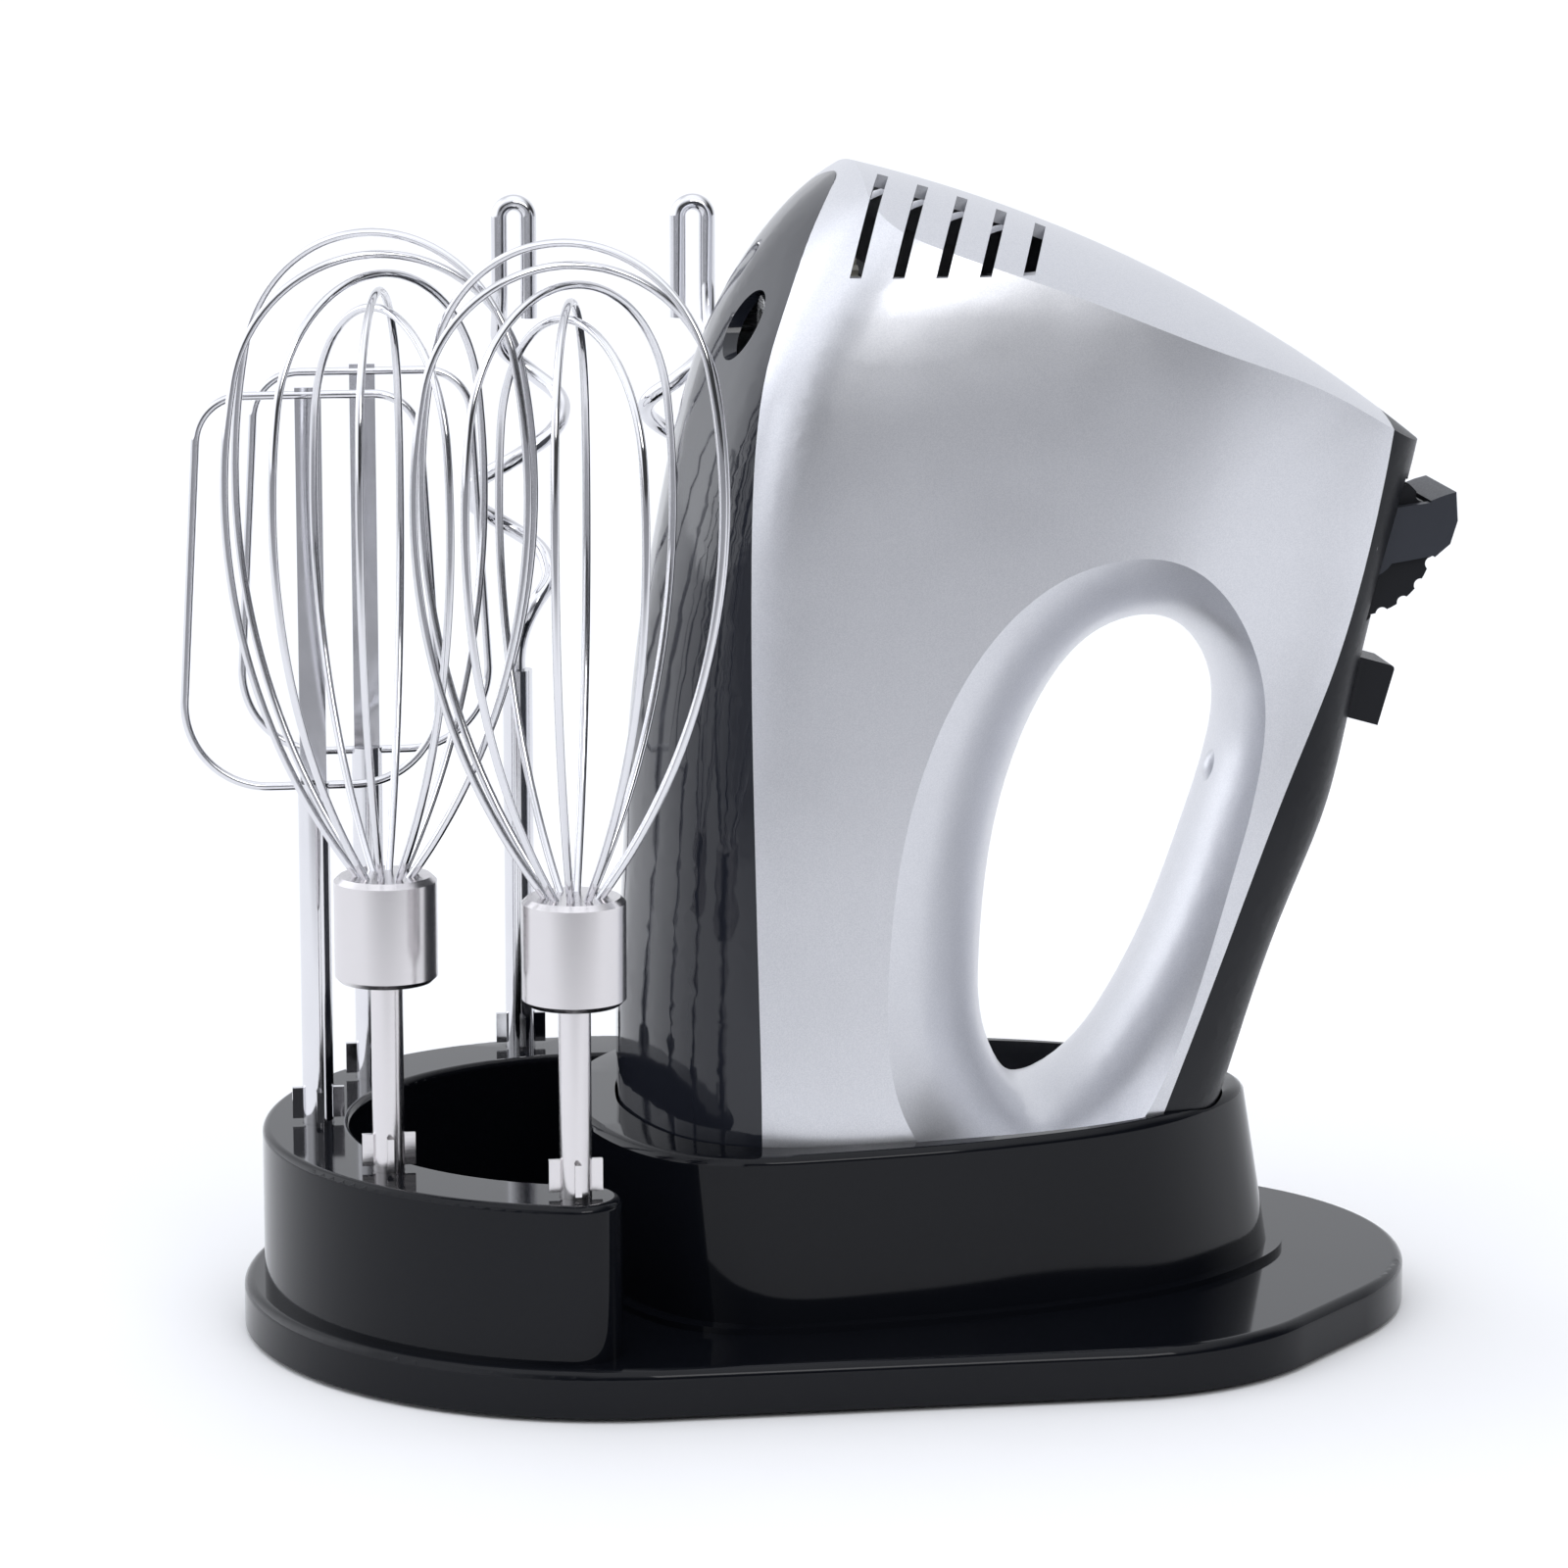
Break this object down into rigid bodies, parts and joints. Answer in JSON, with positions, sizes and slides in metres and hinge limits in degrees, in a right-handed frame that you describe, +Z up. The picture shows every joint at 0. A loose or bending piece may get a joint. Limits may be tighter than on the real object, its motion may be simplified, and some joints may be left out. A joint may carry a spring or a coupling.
{
  "type": "hand mixer",
  "caption": "Electric hand mixer standing on its tail in a storage stand, with balloon whisks, beaters and dough hooks in the holder.",
  "frame": {"origin": "on the table, under the middle of the whole set", "axes": "+X from the attachment holder to the mixer's handle, +Z up"},
  "size_m": [0.2452, 0.1574, 0.2249],
  "materials": {
    "stand_black": "gloss black",
    "cover_black": "matt black",
    "foot_rubber": "matt",
    "screw_steel": "plain",
    "silver_shell": "satin metallic paint",
    "belly_gloss": "gloss dark grey",
    "strip_grey": "satin charcoal",
    "lever_grey": "satin grey",
    "inlet_rubber": "matt",
    "bright_steel": "polished",
    "satin_steel": "brushed",
    "shaft_steel": "ground",
    "laminations": "stacked sheet",
    "copper": "enamelled copper",
    "bronze": "sintered",
    "carbon": "graphite",
    "gear_nylon": "natural nylon",
    "frame_nylon": "glass-filled nylon",
    "switch_black": "moulded",
    "board_green": "solder resist"
  },
  "bodies": {
    "stand": {"base_plate": "stand_black", "bottom_cover": "cover_black", "rubber_feet": "foot_rubber", "stand_screws": "screw_steel", "accessory_holder": "stand_black", "mixer_cradle": "stand_black"},
    "mixer": {"housing_left": "silver_shell", "housing_right": "silver_shell", "belly_cover": "belly_gloss", "handle_strip": "strip_grey", "cord_inlet": "inlet_rubber", "housing_screws": "screw_steel", "stator_core": "laminations", "field_coils": "copper", "rear_bracket": "frame_nylon", "rear_bearing": "bronze", "front_bearing": "bronze", "brush_holders": "bronze", "carbon_brushes": "carbon", "brush_springs": "shaft_steel", "gearbox_frame": "frame_nylon", "fork_guide": "frame_nylon", "dial_axle": "shaft_steel", "control_board": "board_green", "speed_switch": "switch_black", "turbo_switch": "switch_black"},
    "armature": {"motor_shaft": "shaft_steel", "armature_core": "laminations", "armature_windings": "copper", "commutator": "copper", "cooling_fan": "frame_nylon"},
    "left_drive": {"worm_gear_left": "gear_nylon", "spindle_left": "shaft_steel"},
    "right_drive": {"worm_gear_right": "gear_nylon", "spindle_right": "shaft_steel"},
    "ejector": {"ejector_fork": "frame_nylon"},
    "dial": {"speed_dial": "strip_grey"},
    "lever": {"eject_lever": "lever_grey"},
    "button": {"turbo_button": "strip_grey"},
    "whisk_1": {"whisk_1_shaft": "satin_steel", "whisk_1_ferrule": "satin_steel", "whisk_1_wires": "bright_steel"},
    "beater_1": {"beater_1_shaft": "bright_steel", "beater_1_blade": "bright_steel", "beater_1_loop": "bright_steel"},
    "hook_1": {"hook_1_shaft": "bright_steel", "hook_1_rod": "bright_steel"},
    "whisk_2": {"whisk_2_shaft": "satin_steel", "whisk_2_ferrule": "satin_steel", "whisk_2_wires": "bright_steel"},
    "beater_2": {"beater_2_shaft": "bright_steel", "beater_2_blade": "bright_steel", "beater_2_loop": "bright_steel"},
    "hook_2": {"hook_2_shaft": "bright_steel", "hook_2_rod": "bright_steel"}
  },
  "joints": [
    {"name": "mixer_lift", "type": "slide", "parent": "stand", "child": "mixer", "axis": [0, 0, 1], "range_m": [0, 0.035]},
    {"name": "motor_spin", "type": "hinge", "parent": "mixer", "child": "armature", "pos_m": [-0.00053, 0.00667, 0.12], "axis": [0, 0, 1], "continuous": true},
    {"name": "left_spindle_spin", "type": "hinge", "parent": "mixer", "child": "left_drive", "pos_m": [-0.00053, -0.01133, 0.196], "axis": [1, 0, 0], "continuous": true},
    {"name": "right_spindle_spin", "type": "hinge", "parent": "mixer", "child": "right_drive", "pos_m": [-0.00053, 0.02467, 0.196], "axis": [1, 0, 0], "continuous": true},
    {"name": "dial_turn", "type": "hinge", "parent": "mixer", "child": "dial", "pos_m": [0.10397, 0.00667, 0.151], "axis": [0, 1, 0], "range_deg": [0, 100]},
    {"name": "eject_press", "type": "hinge", "parent": "mixer", "child": "lever", "pos_m": [0.10397, 0.00667, 0.151], "axis": [0, -1, 0], "range_deg": [0, 14], "stiffness_Nm_per_rad": 0.12, "springref_deg": -5.73},
    {"name": "eject_fork", "type": "slide", "parent": "mixer", "child": "ejector", "axis": [-1, 0, 0], "range_m": [0, 0.005]},
    {"name": "turbo_press", "type": "slide", "parent": "mixer", "child": "button", "axis": [-0.9613, 0, 0.2756], "range_m": [0, 0.003], "stiffness_N_per_m": 250, "springref_m": -0.002},
    {"name": "whisk_1_lift", "type": "slide", "parent": "stand", "child": "whisk_1", "axis": [0, 0, 1], "range_m": [0, 0.03]},
    {"name": "whisk_2_lift", "type": "slide", "parent": "stand", "child": "whisk_2", "axis": [0, 0, 1], "range_m": [0, 0.03]},
    {"name": "beater_1_lift", "type": "slide", "parent": "stand", "child": "beater_1", "axis": [0, 0, 1], "range_m": [0, 0.03]},
    {"name": "beater_2_lift", "type": "slide", "parent": "stand", "child": "beater_2", "axis": [0, 0, 1], "range_m": [0, 0.03]},
    {"name": "hook_1_lift", "type": "slide", "parent": "stand", "child": "hook_1", "axis": [0, 0, 1], "range_m": [0, 0.03]},
    {"name": "hook_2_lift", "type": "slide", "parent": "stand", "child": "hook_2", "axis": [0, 0, 1], "range_m": [0, 0.03]}
  ],
  "couplings": [
    {"joint": "left_spindle_spin", "follows": "motor_spin", "ratio": 0.066667},
    {"joint": "right_spindle_spin", "follows": "motor_spin", "ratio": -0.066667},
    {"joint": "eject_fork", "follows": "eject_press", "m_per_rad": 0.020442}
  ]
}
